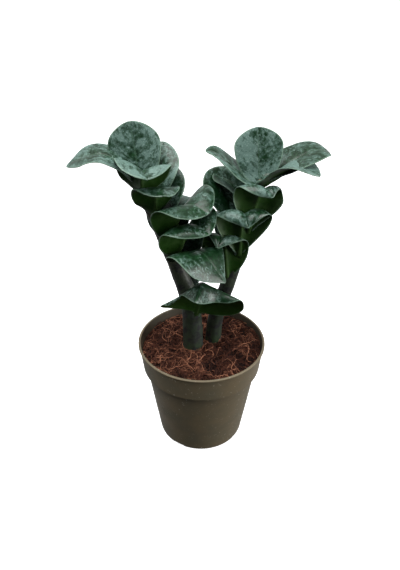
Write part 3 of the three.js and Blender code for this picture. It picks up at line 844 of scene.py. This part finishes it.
def leaflet_mesh(leaf, foot, settings, seed):
    """Points, faces, which face carries which finish, and the finish's guides, for one leaflet."""
    s = 1 - (1 - np.linspace(0, 1, settings.rows + 1)) ** ROW_EASE
    u = np.linspace(-1, 1, settings.columns + 1)
    v = np.sign(u) * np.abs(u) ** COLUMN_EASE
    half = half_width(leaf, s)[:, None]
    across = half * v[None]
    grid = uneven(middle_surface(leaf, foot, s, v), s, v, leaf["length"], seed)
    normal = normals_of(grid)
    thick = settings.blade / MM
    blade = thick / 2 * (1 - MARGIN_THIN * np.abs(v)[None] ** 2) * np.ones_like(s)[:, None]
    stalk = STALK_THICK * (1 - smooth(s / STALK_SPAN))[:, None] * (1 - np.abs(v)[None] / 2)
    body = blade + stalk
    groove = GROOVE_DEPTH * (1 - GROOVE_FADE * s)[:, None] * np.exp(-(across / GROOVE_WIDTH) ** 2)
    groove = groove * smooth(s * 5)[:, None]
    keel = KEEL_DEPTH * (1 - s)[:, None] ** KEEL_FADE * np.exp(-(across / KEEL_WIDTH) ** 2)
    upper = (grid + normal * (body - groove)[..., None]).swapaxes(0, 1)
    lower = (grid - normal * (body + keel)[..., None]).swapaxes(0, 1)

    def margin(end, beside):
        """Lines of points round one margin, from the upper face to the lower."""
        out = grid[:, end] - grid[:, beside]
        out /= np.linalg.norm(out, axis=-1, keepdims=True) + TINY
        return [
            grid[:, end] + out * (body[:, end] * math.cos(a))[:, None]
            + normal[:, end] * (body[:, end] * math.sin(a))[:, None]
            for a in np.radians(MARGIN_TURNS)]

    points = np.stack([*upper, *margin(-1, -2), *lower[::-1], *margin(0, 1)[::-1]], 1)
    ring = points.shape[1]
    edge = np.ones(len(MARGIN_TURNS))
    hand = np.concatenate([v, edge, v[::-1], -edge])
    under = np.repeat([0, 0, 1, 0], [len(v), len(edge), len(v), len(edge)])
    flat = np.concatenate([points.reshape(-1, 3), [points[0].mean(0), points[-1].mean(0)]])
    faces = capped_faces(len(s), ring)
    which = np.tile(under * np.roll(under, -1), settings.rows).tolist() + [0] * (2 * ring)
    x_mm = half * hand[None]
    guides = {
        "along": np.repeat(s[:, None], ring, 1),
        "rib": np.abs(x_mm),
        "across": np.repeat(np.abs(hand)[None], len(s), 0),
        "hand": np.repeat(hand[None], len(s), 0),
        "rim": margin_distance(leaf, s, x_mm),
    }
    guides = {k: np.append(g.ravel(), [g.ravel()[0], g.ravel()[-1]]) for k, g in guides.items()}
    guides["bloom_and_sheen"] = np.full(len(flat), leaf["bloom_and_sheen"])
    guides["own"] = np.full(len(flat), seed * OWN_STEP)
    return flat, faces, which, guides


def normals_of(grid):
    """The grid's unit normals, on the side of the leaflet's upper face."""
    normal = np.cross(np.gradient(grid, axis=0), np.gradient(grid, axis=1))
    return normal / (np.linalg.norm(normal, axis=-1, keepdims=True) + TINY)


def margin_distance(leaf, s, x_mm):
    """How far each point lies from the leaflet's outline, flat, in millimetres."""
    t = np.linspace(0, 1, OUTLINE_STEPS)
    outline = np.stack([half_width(leaf, t), t * leaf["length"]], -1)
    along = np.repeat(s[:, None] * leaf["length"], x_mm.shape[1], 1)
    gap = np.stack([np.abs(x_mm), along], -1)[:, :, None] - outline[None, None]
    return np.sqrt((gap ** 2).sum(-1)).min(-1)


def make_leaflets(name, node, line, leaflets, settings, seed):
    """Every leaflet of a frond, each with its foot sunk in the stem that carries it."""
    points, faces, which, guides = [], [], [], {}
    first = 0
    for i, given in enumerate(leaflets):
        leaf = {**LEAFLET, **given}
        p, f, w, g = leaflet_mesh(leaf, foot_of(leaf, line), settings, seed + i)
        points.append(p)
        faces += [[n + first for n in face] for face in f]
        which += w
        for key, numbers in g.items():
            guides.setdefault(key, []).append(numbers)
        first += len(p)
    values = {key: np.concatenate(numbers) for key, numbers in guides.items()}
    finishes = [
        finish("leaf_face", paint_leaf_face, settings),
        finish("leaf_back", paint_leaf_back, settings)]
    piece_of(name, np.concatenate(points), faces, finishes, node, which, values)


# Finishes

class Shader:
    """Adds nodes to a material's or a group's tree and joins them."""

    def __init__(self, tree):
        self.tree = tree

    def add(self, kind, inputs=None, **settings):
        node = self.tree.nodes.new("ShaderNode" + kind)
        for key, value in settings.items():
            setattr(node, key, value)
        self.fill(node, inputs or {})
        return node

    def fill(self, node, inputs):
        for key, value in inputs.items():
            self.feed(node.inputs[key], value)

    def feed(self, socket, value):
        if isinstance(value, bpy.types.NodeSocket):
            self.tree.links.new(value, socket)
        else:
            socket.default_value = value

    def math(self, operation, a, b):
        return self.add("Math", {0: a, 1: b}, operation=operation).outputs[0]

    def plus(self, a, b):
        return self.math("ADD", a, b)

    def minus(self, a, b):
        return self.math("SUBTRACT", a, b)

    def times(self, a, b):
        return self.math("MULTIPLY", a, b)

    def vector(self, operation, inputs):
        return self.add("VectorMath", inputs, operation=operation).outputs

    def ramp(self, value, low, high, start=0.0, end=1.0):
        """A smooth step of value from low to high, put between start and end."""
        limits = {"From Min": low, "From Max": high, "To Min": start, "To Max": end}
        node = self.add("MapRange", {"Value": value, **limits}, interpolation_type="SMOOTHSTEP")
        return node.outputs[0]

    def blend(self, share, a, b):
        """Colour a turned to colour b by a share."""
        node = self.add("Mix", data_type="RGBA")
        self.fill(node, {"Factor": share})
        for socket, value in ((node.inputs[6], a), (node.inputs[7], b)):
            is_socket = isinstance(value, bpy.types.NodeSocket)
            self.feed(socket, value if is_socket else (*value[:3], 1))
        return node.outputs[2]

    def lay(self, ground, mask, share, colour):
        """The ground with a colour over it where the mask is, to a share of it at most."""
        return self.blend(self.times(mask, share), ground, colour)

    def value_of(self, name):
        return self.add("Attribute", attribute_name=name, attribute_type="GEOMETRY").outputs["Fac"]

    def group(self, name, inputs=None):
        node = self.add("Group")
        node.node_tree = bpy.data.node_groups.get(name) or GROUPS[name]()
        self.fill(node, inputs or {})
        return node.outputs

    def mottle(self, scale, low, high, warp, seed=0.0):
        """A mask of blotches, so many to the metre, that fade in from low to high."""
        return self.group("Mottle", {
            "Scale": scale, "Seed": seed, "Warp": warp, "Low": low, "High": high})["Mask"]

    def relief(self, scale, coarse, strength, distance):
        """The normal of a finely grained surface."""
        height = self.group("Fine Grain", {"Scale": scale, "Coarse Share": coarse})["Height"]
        bump = {"Height": height, "Strength": strength, "Distance": distance}
        return self.add("Bump", bump).outputs["Normal"]


def new_group(name, inputs, outputs):
    """An empty shader group with named sockets, and its input and output nodes."""
    tree = bpy.data.node_groups.new(name, "ShaderNodeTree")
    for key, value in inputs.items():
        socket = tree.interface.new_socket(key, in_out="INPUT", socket_type="NodeSocketFloat")
        socket.default_value = value
    for key in outputs:
        tree.interface.new_socket(key, in_out="OUTPUT", socket_type="NodeSocketFloat")
    given = tree.nodes.new("NodeGroupInput").outputs
    result = tree.nodes.new("NodeGroupOutput")
    return tree, Shader(tree), given, result


def mottle_group():
    """Blotches: a mask of soft-edged noise, warped so that its spots aren't round."""
    tree, sh, given, result = new_group(
        "Mottle", {"Scale": 200.0, "Seed": 0.0, "Warp": 0.5, "Low": 0.4, "High": 0.6}, ["Mask"])
    place = sh.add("TexCoord").outputs["Object"]
    bend = sh.add("TexNoise", {
        "Vector": place, "Detail": 2.0, "Scale": sh.times(given["Scale"], 0.6)})
    lean = sh.vector("SUBTRACT", {0: bend.outputs["Color"], 1: (0.5, 0.5, 0.5)})[0]
    reach = sh.math("DIVIDE", given["Warp"], given["Scale"])
    moved = sh.vector("SCALE", {0: lean, "Scale": reach})[0]
    where = sh.vector("ADD", {0: place, 1: moved})[0]
    spots = sh.add("TexNoise", noise_dimensions="4D", inputs={
        "Vector": where, "Detail": 3.0, "Roughness": 0.6, "Scale": given["Scale"],
        "W": given["Seed"]})
    sh.fill(result, {"Mask": sh.ramp(spots.outputs["Fac"], given["Low"], given["High"])})
    return tree


def grain_group():
    """Fine surface relief: two sizes of noise as one height."""
    tree, sh, given, result = new_group(
        "Fine Grain", {"Scale": 1500.0, "Coarse Share": 0.5}, ["Height"])
    place = sh.add("TexCoord").outputs["Object"]
    fine = sh.add("TexNoise", {"Vector": place, "Detail": 2.0, "Scale": given["Scale"]})
    coarse = sh.add("TexNoise", {
        "Vector": place, "Detail": 3.0, "Scale": sh.times(given["Scale"], 0.2)})
    lump = sh.times(coarse.outputs["Fac"], given["Coarse Share"])
    sh.fill(result, {"Height": sh.plus(fine.outputs["Fac"], lump)})
    return tree


def feather_group():
    """Frayed streaks that run out from the midrib along the side veins, unlike on both halves."""
    tree, sh, given, result = new_group(
        "Feather", {"Count": 8.0, "Slant": 2.4, "Seed": 0.0, "Low": 0.42, "High": 0.6}, ["Mask"])
    across = sh.value_of("across")
    phase = sh.times(sh.value_of("along"), given["Count"])
    phase = sh.minus(phase, sh.times(across, given["Slant"]))
    depth = sh.plus(given["Seed"], sh.times(sh.value_of("hand"), 1.7))
    place = sh.add("CombineXYZ", {0: phase, 1: sh.times(across, 1.3), 2: depth}).outputs[0]
    streaks = sh.add("TexNoise", {
        "Vector": place, "Scale": 1.0, "Detail": 5.0, "Roughness": 0.68, "Distortion": 0.5})
    sh.fill(result, {"Mask": sh.ramp(streaks.outputs["Fac"], given["Low"], given["High"])})
    return tree


def blade_group():
    """A blade's lines, from its guides: the midrib and the pale margin."""
    tree, sh, given, result = new_group(
        "Blade Lines", {"Rib Width": 0.9, "Margin Width": 0.9}, ["Midrib", "Margin"])
    width = sh.times(given["Rib Width"], sh.minus(1.25, sh.value_of("along")))
    rib = sh.math("DIVIDE", sh.value_of("rib"), width)
    rim = sh.math("DIVIDE", sh.value_of("rim"), given["Margin Width"])
    sh.fill(result, {
        "Midrib": sh.ramp(rib, 0.35, 1.3, 1.0, 0.0), "Margin": sh.ramp(rim, 0.25, 1.1, 1.0, 0.0)})
    return tree


GROUPS = {
    "Mottle": mottle_group, "Fine Grain": grain_group, "Feather": feather_group,
    "Blade Lines": blade_group,
}


def new_material(name):
    """A new material, a shader builder for its tree, and its Principled shader."""
    made = bpy.data.materials.new(name)
    made.use_nodes = True
    tree = made.node_tree
    return made, Shader(tree), tree.nodes["Principled BSDF"]


def finish(name, paint, settings):
    """The material of a name, painted the first time and shared from then on."""
    made = bpy.data.materials.get(name)
    if made is None:
        made, sh, skin = new_material(name)
        paint(sh, skin, settings)
    return made


def paint_leaf_face(sh, skin, settings):
    """The waxy upper face: deep green under a pale cover, partly waxy bloom and partly painted
    sheen, that frays along the veins and carries dusty specks and clumps of frost, with a paler
    painted sheen where the cover is thickest."""
    lines = sh.group("Blade Lines")
    seed = sh.value_of("own")
    broad = sh.mottle(scale=58.0, low=0.38, high=0.6, warp=2.2, seed=seed)
    feather = sh.group("Feather", {"Seed": sh.times(seed, 5.0)})["Mask"]
    fleck = sh.mottle(scale=340.0, low=0.4, high=0.62, warp=1.6, seed=seed)
    speck = sh.mottle(scale=1000.0, low=0.52, high=0.7, warp=0.5, seed=seed)
    # The pale cover, partly waxy bloom and partly painted sheen: shares of patches, streaks and
    # flecks, and more towards the margin as painted light beside a shaded middle
    cover = sh.plus(sh.times(broad, 0.42), sh.times(feather, 0.34))
    cover = sh.plus(cover, sh.times(fleck, 0.24))
    cover = sh.plus(cover, sh.times(sh.minus(sh.value_of("across"), 0.45), 0.3))
    cover = sh.plus(cover, sh.minus(sh.value_of("bloom_and_sheen"), 0.75))
    cover = sh.ramp(cover, 0.15, 0.85)
    deep = sh.blend(fleck, LEAF_DEEP, LEAF_DEEP_FLECK)
    ground = sh.blend(cover, deep, settings.face)
    # Painted sheen: a paler whitish colour where the cover is thickest
    ground = sh.blend(sh.ramp(cover, 0.7, 1.0, 0.0, 0.45), ground, PAINTED_SHEEN_PALE)
    ground = sh.lay(ground, sh.times(speck, cover), 0.75, BLOOM_DUST)
    clump = sh.mottle(scale=85.0, low=0.46, high=0.6, warp=2.0, seed=sh.plus(seed, 3.0))
    frost = sh.mottle(scale=460.0, low=0.47, high=0.6, warp=1.4, seed=seed)
    ground = sh.lay(ground, sh.times(frost, clump), 0.6, BLOOM_FROST)
    ground = sh.lay(ground, lines["Midrib"], 0.3, FACE_MIDRIB)
    ground = sh.lay(ground, lines["Margin"], 0.55, FACE_MARGIN)
    sh.fill(skin, {
        "Base Color": ground, "Roughness": sh.ramp(cover, 0.0, 1.0, 0.3, 0.5),
        "Normal": sh.relief(scale=900.0, coarse=1.5, strength=0.4, distance=0.0002),
        "Coat Weight": 0.05, "Coat Roughness": 0.25, "Specular IOR Level": 0.32})


def paint_leaf_back(sh, skin, settings):
    """The smoother, dark olive under face, with a pale margin and a paler keel."""
    lines = sh.group("Blade Lines", {"Rib Width": 1.6, "Margin Width": 0.8})
    seed = sh.value_of("own")
    broad = sh.mottle(scale=110.0, low=0.35, high=0.65, warp=1.2, seed=seed)
    fleck = sh.mottle(scale=700.0, low=0.45, high=0.7, warp=0.6, seed=seed)
    ground = sh.blend(broad, settings.back, BACK_BLOTCH)
    ground = sh.lay(ground, fleck, 0.25, BACK_FLECK)
    ground = sh.lay(ground, lines["Midrib"], 0.35, BACK_KEEL)
    ground = sh.lay(ground, lines["Margin"], 0.6, BACK_MARGIN)
    sh.fill(skin, {
        "Base Color": ground, "Roughness": sh.ramp(broad, 0.0, 1.0, 0.42, 0.55),
        "Normal": sh.relief(scale=1100.0, coarse=1.0, strength=0.25, distance=0.0002),
        "Specular IOR Level": 0.25})


def paint_stem(sh, skin, settings):
    """Dark grey-green skin, blotched with purple-black, paler towards the top and greener at the
    foot."""
    blotch = sh.mottle(scale=120.0, low=0.47, high=0.6, warp=2.0)
    fleck = sh.mottle(scale=520.0, low=0.5, high=0.68, warp=1.0)
    pale = sh.mottle(scale=900.0, low=0.6, high=0.74, warp=0.4, seed=4.0)
    above = sh.value_of("above")
    ground = sh.blend(sh.ramp(above, 0.25, 0.9), settings.stem, STEM_TOP)
    ground = sh.blend(sh.ramp(above, 0.0, 0.10, 0.6, 0.0), ground, STEM_FOOT)
    ground = sh.lay(ground, blotch, 0.85, STEM_BLOTCH)
    ground = sh.lay(ground, fleck, 0.55, STEM_FLECK)
    ground = sh.lay(ground, pale, 0.3, STEM_PALE)
    sh.fill(skin, {
        "Base Color": ground, "Roughness": sh.ramp(blotch, 0.0, 1.0, 0.5, 0.62),
        "Normal": sh.relief(scale=800.0, coarse=2.0, strength=0.4, distance=0.0003)})


def paint_plastic(sh, skin, settings):
    """Matt taupe plastic, clouded, dusty and specked, with painted shade darkening the pot's
    inside.
    """
    cloud = sh.mottle(scale=28.0, low=0.3, high=0.7, warp=1.0)
    dust = sh.mottle(scale=240.0, low=0.55, high=0.8, warp=1.5, seed=2.0)
    speck = sh.mottle(scale=420.0, low=0.63, high=0.69, warp=0.2, seed=7.0)
    ground = sh.blend(cloud, settings.plastic, PLASTIC_CLOUD)
    ground = sh.lay(ground, dust, 0.35, PLASTIC_DUST)
    ground = sh.lay(ground, speck, 0.8, PLASTIC_SPECK)
    # The wall's inside is where its surface faces the pot's axis; painted shade darkens it there
    place = sh.add("SeparateXYZ", {0: sh.add("TexCoord").outputs["Object"]}).outputs
    outward = sh.add("CombineXYZ", {0: place["X"], 1: place["Y"]}).outputs[0]
    outward = sh.vector("NORMALIZE", {0: outward})[0]
    facing = sh.add("NewGeometry").outputs["True Normal"]
    turned = sh.vector("DOT_PRODUCT", {0: facing, 1: outward})["Value"]
    ground = sh.blend(sh.ramp(turned, -0.9, -0.3, 0.75, 0.0), ground, PAINTED_INSIDE_SHADE)
    sh.fill(skin, {
        "Base Color": ground, "Roughness": sh.ramp(cloud, 0.0, 1.0, 0.5, 0.6),
        "Normal": sh.relief(scale=1600.0, coarse=0.6, strength=0.2, distance=0.0001)})


def paint_coir(sh, skin, settings):
    """Coir from damp dark brown to dry tan, by each fibre's tone, which also carries painted shade
    in the hollows and painted light on the clump tops.
    """
    patch = sh.mottle(scale=60.0, low=0.3, high=0.7, warp=1.0)
    fleck = sh.mottle(scale=600.0, low=0.35, high=0.7, warp=1.0)
    share = sh.plus(sh.times(sh.value_of("tone"), 0.7), sh.times(patch, 0.15))
    share = sh.plus(share, sh.times(fleck, 0.15))
    ground = sh.blend(sh.ramp(share, 0.0, 0.5), settings.dark, COIR_MIDDLE)
    sh.fill(skin, {
        "Base Color": sh.blend(sh.ramp(share, 0.5, 1.0), ground, settings.pale),
        "Normal": sh.relief(scale=2500.0, coarse=1.0, strength=0.3, distance=0.0001),
        "Roughness": 0.75, "Specular IOR Level": 0.2})


# The stage

def make_camera():
    data = bpy.data.cameras.new("camera")
    data.sensor_width = SENSOR
    data.lens = FOCAL_PIXELS * SENSOR / FRAME_HEIGHT
    data.clip_start, data.clip_end = 0.01, 100
    camera = bpy.data.objects.new("camera", data)
    bpy.context.scene.collection.objects.link(camera)
    camera.location = Vector(CAMERA_PLACE) * MM
    tilt = Euler((math.radians(90 - CAMERA_DOWN), 0, 0)).to_matrix()
    roll = Euler((0, 0, math.radians(CAMERA_ROLL))).to_matrix()
    camera.rotation_euler = (tilt @ roll).to_euler()
    bpy.context.scene.camera = camera


def area_light(name, place, size, power):
    """A soft square light at place, facing the plant's middle."""
    data = bpy.data.lights.new(name, "AREA")
    data.shape = "SQUARE"
    data.size = size
    data.energy = power
    light = bpy.data.objects.new(name, data)
    bpy.context.scene.collection.objects.link(light)
    light.location = place
    toward = Vector(LIGHT_AIM) - Vector(place)
    light.rotation_euler = toward.to_track_quat("-Z", "Y").to_euler()


def make_world():
    """White where the camera sees it, and a soft sky for everything else, bright overhead and
    behind the plant."""
    world = bpy.data.worlds.new("studio")
    bpy.context.scene.world = world
    world.use_nodes = True
    tree = world.node_tree
    tree.nodes.clear()
    sh = Shader(tree)
    axes = sh.add("SeparateXYZ", {0: sh.add("TexCoord").outputs["Generated"]}).outputs
    overhead = sh.ramp(axes["Z"], 0.0, 0.95, 0.02, 0.7)
    behind = sh.ramp(axes["Y"], -0.3, 0.8, 0.0, 0.6)
    strength = sh.math("MAXIMUM", overhead, behind)
    sky = sh.add("Background", {"Color": (0.96, 0.98, 1, 1), "Strength": strength}).outputs[0]
    white = sh.add("Background", {"Color": (1, 1, 1, 1), "Strength": 1.0}).outputs[0]
    seen = sh.add("LightPath").outputs["Is Camera Ray"]
    shown = sh.add("MixShader", {0: seen, 1: sky, 2: white}).outputs[0]
    sh.add("OutputWorld", {"Surface": shown})


def make_floor(settings):
    """A plain white floor, lit from itself, that throws no light on the plant."""
    mesh = bpy.data.meshes.new("floor")
    r = FLOOR_REACH
    mesh.from_pydata([(-r, -r, 0), (r, -r, 0), (r, r, 0), (-r, r, 0)], [], [(0, 1, 2, 3)])
    floor = bpy.data.objects.new("floor", mesh)
    bpy.context.scene.collection.objects.link(floor)
    made, sh, skin = new_material("floor")
    sh.fill(skin, {
        "Base Color": (*settings.floor, 1), "Roughness": 0.9, "Specular IOR Level": 0.0,
        "Emission Color": (1, 1, 1, 1), "Emission Strength": 0.8})
    mesh.materials.append(made)
    floor.visible_diffuse = False
    floor.visible_glossy = False


def make_stage(settings):
    make_camera()
    make_world()
    make_floor(settings)
    for name, place, size, share in LIGHTS:
        area_light(name, place, size, settings.light * share)
    view = bpy.context.scene.view_settings
    view.view_transform = "Standard"
    view.look = "None"


# Operators, panel and registration

class HOUSEPLANT_OT_pot(bpy.types.Operator):
    """Build the moulded nursery pot"""
    bl_idname = "houseplant.pot"
    bl_label = "Pot"

    def execute(self, context):
        make_pot(context.scene.houseplant_pot)
        return {"FINISHED"}


class HOUSEPLANT_OT_coir_bed(bpy.types.Operator):
    """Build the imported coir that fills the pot"""
    bl_idname = "houseplant.coir_bed"
    bl_label = "Coir bed"

    def execute(self, context):
        make_coir_bed(context.scene.houseplant_coir)
        return {"FINISHED"}


class HOUSEPLANT_OT_coir_fibres(bpy.types.Operator):
    """Scatter the loose coir fibres over the bed"""
    bl_idname = "houseplant.coir_fibres"
    bl_label = "Coir fibres"

    def execute(self, context):
        make_coir_fibres(context.scene.houseplant_coir)
        return {"FINISHED"}


class HOUSEPLANT_OT_stems(bpy.types.Operator):
    """Build the stem of each frond"""
    bl_idname = "houseplant.stems"
    bl_label = "Stems"

    def execute(self, context):
        settings = context.scene.houseplant_frond
        for i, (side, node, line, leaflets) in enumerate(FRONDS):
            make_stem(f"{side}_stem", node, line, leaflets, settings, STEM_SEED + i)
        return {"FINISHED"}


class HOUSEPLANT_OT_leaflets(bpy.types.Operator):
    """Build the folded leaflets of each frond"""
    bl_idname = "houseplant.leaflets"
    bl_label = "Leaflets"

    def execute(self, context):
        settings = context.scene.houseplant_frond
        for i, (side, node, line, leaflets) in enumerate(FRONDS):
            seed = LEAFLET_SEED + FROND_SEEDS * i
            make_leaflets(f"{side}_leaflets", node, line, leaflets, settings, seed)
        return {"FINISHED"}


class HOUSEPLANT_OT_stage(bpy.types.Operator):
    """Set up the camera, the soft light and the plain floor"""
    bl_idname = "houseplant.stage"
    bl_label = "Stage"

    def execute(self, context):
        make_stage(context.scene.houseplant_stage)
        return {"FINISHED"}


class HOUSEPLANT_PT_panel(bpy.types.Panel):
    """The plant's pieces, in the order that they are built"""
    bl_label = "House Plant"
    bl_idname = "HOUSEPLANT_PT_panel"
    bl_space_type = "VIEW_3D"
    bl_region_type = "UI"
    bl_category = "House Plant"

    def draw(self, context):
        for name, label, operators in PANEL_ROWS:
            box = self.layout.box()
            box.label(text=label)
            settings = getattr(context.scene, name)
            for key in settings.bl_rna.properties.keys():
                if key not in ("rna_type", "name"):
                    box.prop(settings, key)
            for operator in operators:
                box.operator(operator)


PANEL_ROWS = (
    ("houseplant_stage", "Stage", ("houseplant.stage",)),
    ("houseplant_pot", "Pot", ("houseplant.pot",)),
    ("houseplant_coir", "Coir", ("houseplant.coir_bed", "houseplant.coir_fibres")),
    ("houseplant_frond", "Fronds", ("houseplant.stems", "houseplant.leaflets")),
)
SETTINGS = {
    "houseplant_stage": StageSettings,
    "houseplant_pot": PotSettings,
    "houseplant_coir": CoirSettings,
    "houseplant_frond": FrondSettings,
}
CLASSES = (
    *SETTINGS.values(),
    HOUSEPLANT_OT_pot, HOUSEPLANT_OT_coir_bed, HOUSEPLANT_OT_coir_fibres, HOUSEPLANT_OT_stems,
    HOUSEPLANT_OT_leaflets, HOUSEPLANT_OT_stage, HOUSEPLANT_PT_panel,
)


def register():
    for cls in CLASSES:
        bpy.utils.register_class(cls)
    for name, cls in SETTINGS.items():
        setattr(bpy.types.Scene, name, bpy.props.PointerProperty(type=cls))


def unregister():
    for name in SETTINGS:
        delattr(bpy.types.Scene, name)
    for cls in reversed(CLASSES):
        bpy.utils.unregister_class(cls)


def main():
    register()
    for _, _, operators in PANEL_ROWS:
        for name in operators:
            family, call = name.split(".")
            getattr(getattr(bpy.ops, family), call)()


if __name__ == "__main__":
    main()
